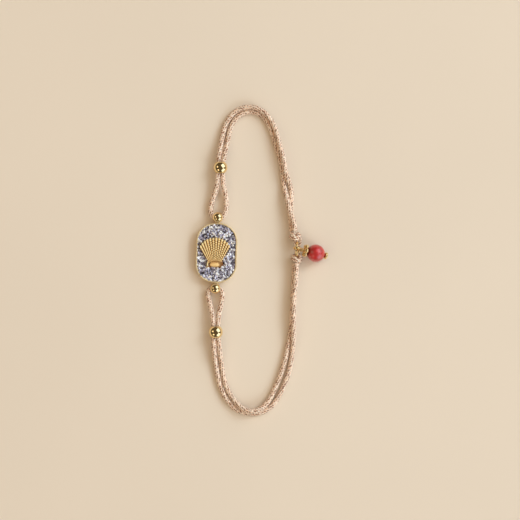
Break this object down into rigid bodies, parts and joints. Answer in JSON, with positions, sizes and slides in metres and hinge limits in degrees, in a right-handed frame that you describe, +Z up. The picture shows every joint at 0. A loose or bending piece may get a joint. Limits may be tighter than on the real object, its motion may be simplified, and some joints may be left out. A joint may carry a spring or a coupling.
{
  "type": "shell bracelet",
  "caption": "Closed cord bracelet with a scallop shell on a druzy crystal tray, slider beads and a small coral bead drop.",
  "frame": {"origin": "at table height, midway between the tray's outer edge and the tip of the head pin, and midway between the two slider beads", "axes": "+Z up from the table, +Y along the bracelet towards the upper doubled cord, +X from the tray towards the coral bead"},
  "size_m": [0.0332, 0.078, 0.0046],
  "materials": {
    "polished_gold": "polished gold plating",
    "satin_gold": "satin gold plating",
    "druzy": "glittering crystals",
    "cord": "satin braid with gold flecks",
    "coral": "polished"
  },
  "bodies": {
    "root": {"plate": "polished_gold", "druzy_fill": "druzy", "shell": "satin_gold", "slider_bead_upper": "polished_gold", "slider_bead_lower": "polished_gold", "cord_upper_outer": "cord", "cord_upper_loop": "cord", "cord_upper_inner": "cord", "cord_upper_waist": "cord", "cord_lower_outer": "cord", "cord_lower_loop": "cord", "cord_lower_inner": "cord", "cord_lower_waist": "cord", "knot_upper": "cord", "knot_lower": "cord", "jump_ring": "polished_gold", "head_pin": "polished_gold", "daisy_spacer": "polished_gold", "coral_bead": "coral"}
  },
  "joints": []
}
